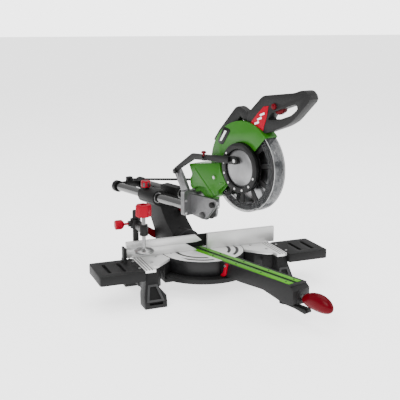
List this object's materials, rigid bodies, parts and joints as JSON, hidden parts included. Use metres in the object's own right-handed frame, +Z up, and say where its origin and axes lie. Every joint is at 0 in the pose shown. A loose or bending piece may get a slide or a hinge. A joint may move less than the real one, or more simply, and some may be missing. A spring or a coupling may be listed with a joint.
{
  "type": "sliding compound mitre saw",
  "caption": "Sliding compound mitre saw: a toothed blade in guards on a sprung head that chops, slides on two rails, tilts on its column and swivels with a slotted table behind a fence.",
  "frame": {"origin": "on the bench, under the middle of the bounding box", "axes": "+X right along the fence, +Y to the back, +Z up from the bench"},
  "size_m": [0.63, 0.7901, 0.5445],
  "materials": {
    "black_plastic": "fine moulded grain",
    "green_paint": "satin green paint",
    "lime_plastic": "smooth satin",
    "red_plastic": "glossy moulding",
    "dark_red_plastic": "semi gloss moulding",
    "machined_aluminium": "machined and satin",
    "cast_alloy": "die cast, shot blasted",
    "steel": "ground",
    "clear_guard": "clear moulding",
    "rubber": "matt",
    "bronze": "sintered bronze"
  },
  "bodies": {
    "base": {"base_casting": "black_plastic", "table_left": "machined_aluminium", "table_right": "machined_aluminium", "wing_left": "black_plastic", "wing_right": "black_plastic", "turntable_pivot_bolt": "steel", "fence_left_lower": "machined_aluminium", "fence_right": "machined_aluminium", "fence_bridge": "black_plastic", "clamp_post": "black_plastic"},
    "fence_slider": {"fence_left_upper": "machined_aluminium"},
    "flip_stop": {"flip_stop": "black_plastic"},
    "clamp_arm": {"clamp_arm": "black_plastic"},
    "clamp_thumb_screw": {"clamp_thumb_screw": "red_plastic"},
    "clamp_spindle": {"clamp_spindle": "steel"},
    "clamp_knob": {"clamp_knob": "red_plastic"},
    "turntable": {"turntable": "machined_aluminium", "mitre_arm": "black_plastic", "kerf_plate_left": "lime_plastic", "kerf_plate_right": "lime_plastic", "mitre_pointer": "red_plastic", "bevel_bolt": "steel"},
    "mitre_lock_handle": {"mitre_lock_handle": "dark_red_plastic"},
    "mitre_detent_lever": {"mitre_detent_lever": "black_plastic"},
    "column": {"bevel_column": "black_plastic", "rail_bush_left": "bronze", "rail_bush_right": "bronze"},
    "bevel_lock_lever": {"bevel_lock_lever": "dark_red_plastic"},
    "slide_lock_knob": {"slide_lock_knob": "red_plastic"},
    "bevel_stop_pin": {"bevel_stop_pin": "dark_red_plastic"},
    "slider": {"rail_left": "steel", "rail_right": "steel", "rail_end_bar": "black_plastic", "head_bracket": "cast_alloy", "head_hinge_pin": "steel", "head_return_spring": "steel", "power_lead": "rubber"},
    "transport_pin": {"transport_pin": "black_plastic"},
    "guard_link_rear": {"guard_link_rear": "black_plastic"},
    "guard_link_button": {"guard_link_button": "dark_red_plastic"},
    "guard_link_front": {"guard_link_front": "black_plastic"},
    "head": {"arm_housing": "green_paint", "upper_guard": "green_paint", "carry_handle": "black_plastic", "main_handle": "black_plastic", "motor_housing": "black_plastic", "motor_end_cap": "black_plastic", "drive_belt": "rubber", "guard_hub_ring": "black_plastic", "guard_hub_cover": "cast_alloy"},
    "trigger": {"trigger": "dark_red_plastic"},
    "lock_off_button": {"lock_off_button": "red_plastic"},
    "rotor": {"armature": "steel", "motor_fan": "black_plastic"},
    "arbor": {"arbor_shaft": "steel", "blade_flange": "steel", "blade": "steel"},
    "lower_guard": {"lower_guard": "black_plastic", "guard_rim": "clear_guard"}
  },
  "joints": [
    {"name": "mitre_swivel", "type": "hinge", "parent": "base", "child": "turntable", "pos_m": [0, 0.044, 0.0925], "axis": [0, 0, -1], "range_deg": [-27, 63]},
    {"name": "mitre_lock_turn", "type": "hinge", "parent": "turntable", "child": "mitre_lock_handle", "pos_m": [0.11434, -0.30789, 0.063], "axis": [-0.309, 0.9511, 0], "range_deg": [0, 60]},
    {"name": "mitre_detent_squeeze", "type": "hinge", "parent": "turntable", "child": "mitre_detent_lever", "pos_m": [0.0961, -0.25178, 0.0365], "axis": [-0.9511, -0.309, 0], "range_deg": [0, 3], "stiffness_Nm_per_rad": 2},
    {"name": "bevel_tilt", "type": "hinge", "parent": "turntable", "child": "column", "pos_m": [-0.02039, 0.10677, 0.0925], "axis": [0.309, -0.9511, 0], "range_deg": [0, 30]},
    {"name": "bevel_lock_turn", "type": "hinge", "parent": "column", "child": "bevel_lock_lever", "pos_m": [-0.05346, 0.20853, 0.0925], "axis": [-0.309, 0.9511, 0], "range_deg": [-50, 0]},
    {"name": "bevel_stop_pull", "type": "slide", "parent": "column", "child": "bevel_stop_pin", "axis": [0.309, -0.9511, 0], "range_m": [0, 0.006], "stiffness_N_per_m": 300},
    {"name": "rail_slide", "type": "slide", "parent": "column", "child": "slider", "axis": [-0.309, 0.9511, 0], "range_m": [-0.05, 0.1]},
    {"name": "slide_lock_turn", "type": "hinge", "parent": "column", "child": "slide_lock_knob", "pos_m": [-0.10241, 0.21681, 0.24], "axis": [0, 0, 1], "range_deg": [-90, 180]},
    {"name": "transport_pin_pull", "type": "slide", "parent": "slider", "child": "transport_pin", "axis": [-0.9511, -0.309, 0], "range_m": [0, 0.01]},
    {"name": "head_chop", "type": "hinge", "parent": "slider", "child": "head", "pos_m": [0.01483, -0.00165, 0.204], "axis": [-0.9511, -0.309, 0], "range_deg": [-51.4, 0], "stiffness_Nm_per_rad": 12, "springref_deg": 51.57},
    {"name": "trigger_squeeze", "type": "slide", "parent": "head", "child": "trigger", "axis": [0, 0, 1], "range_m": [0, 0.005], "stiffness_N_per_m": 300},
    {"name": "lock_off_press", "type": "slide", "parent": "head", "child": "lock_off_button", "axis": [0.9511, 0.309, 0], "range_m": [0, 0.003], "stiffness_N_per_m": 300},
    {"name": "arbor_spin", "type": "hinge", "parent": "head", "child": "arbor", "pos_m": [0.05593, -0.12814, 0.347], "axis": [0.9511, 0.309, 0], "continuous": true},
    {"name": "rotor_spin", "type": "hinge", "parent": "head", "child": "rotor", "pos_m": [0.02936, -0.04635, 0.312], "axis": [0.9511, 0.309, 0], "continuous": true},
    {"name": "lower_guard_open", "type": "hinge", "parent": "head", "child": "lower_guard", "pos_m": [0.05593, -0.12814, 0.347], "axis": [0.9511, 0.309, 0], "range_deg": [-144, 0]},
    {"name": "link_rear_swing", "type": "hinge", "parent": "slider", "child": "guard_link_rear", "pos_m": [-0.01483, 0.08965, 0.308], "axis": [0.9511, 0.309, 0], "range_deg": [-1, 35]},
    {"name": "link_front_swing", "type": "hinge", "parent": "head", "child": "guard_link_front", "pos_m": [0.05624, -0.12909, 0.367], "axis": [0.9511, 0.309, 0], "range_deg": [-20, 1]},
    {"name": "link_button_press", "type": "slide", "parent": "guard_link_rear", "child": "guard_link_button", "axis": [0, 0, -1], "range_m": [0, 0.002], "stiffness_N_per_m": 200},
    {"name": "fence_left_slide", "type": "slide", "parent": "base", "child": "fence_slider", "axis": [-1, 0, 0], "range_m": [0, 0.06]},
    {"name": "flip_stop_fold", "type": "hinge", "parent": "base", "child": "flip_stop", "pos_m": [-0.227, 0.014, 0.0975], "axis": [0, -1, 0], "range_deg": [0, 90]},
    {"name": "clamp_arm_height", "type": "slide", "parent": "base", "child": "clamp_arm", "axis": [0, 0, -1], "range_m": [-0.02, 0.005]},
    {"name": "clamp_thumb_turn", "type": "hinge", "parent": "clamp_arm", "child": "clamp_thumb_screw", "pos_m": [-0.213, 0.062, 0.18], "axis": [1, 0, 0], "range_deg": [-90, 180]},
    {"name": "clamp_knob_turn", "type": "hinge", "parent": "clamp_spindle", "child": "clamp_knob", "pos_m": [-0.177, 0.004, 0.225], "axis": [0, 0, 1], "range_deg": [0, 1296]},
    {"name": "clamp_screw_travel", "type": "slide", "parent": "clamp_arm", "child": "clamp_spindle", "axis": [0, 0, -1], "range_m": [0, 0.018]}
  ],
  "couplings": [
    {"joint": "rotor_spin", "follows": "arbor_spin", "ratio": 2.25},
    {"joint": "lower_guard_open", "follows": "head_chop", "ratio": 2.8},
    {"joint": "link_rear_swing", "follows": "head_chop", "ratio": -0.6539},
    {"joint": "link_front_swing", "follows": "head_chop", "ratio": 0.3461},
    {"joint": "clamp_knob_turn", "follows": "clamp_screw_travel", "rad_per_m": 1256.6}
  ]
}
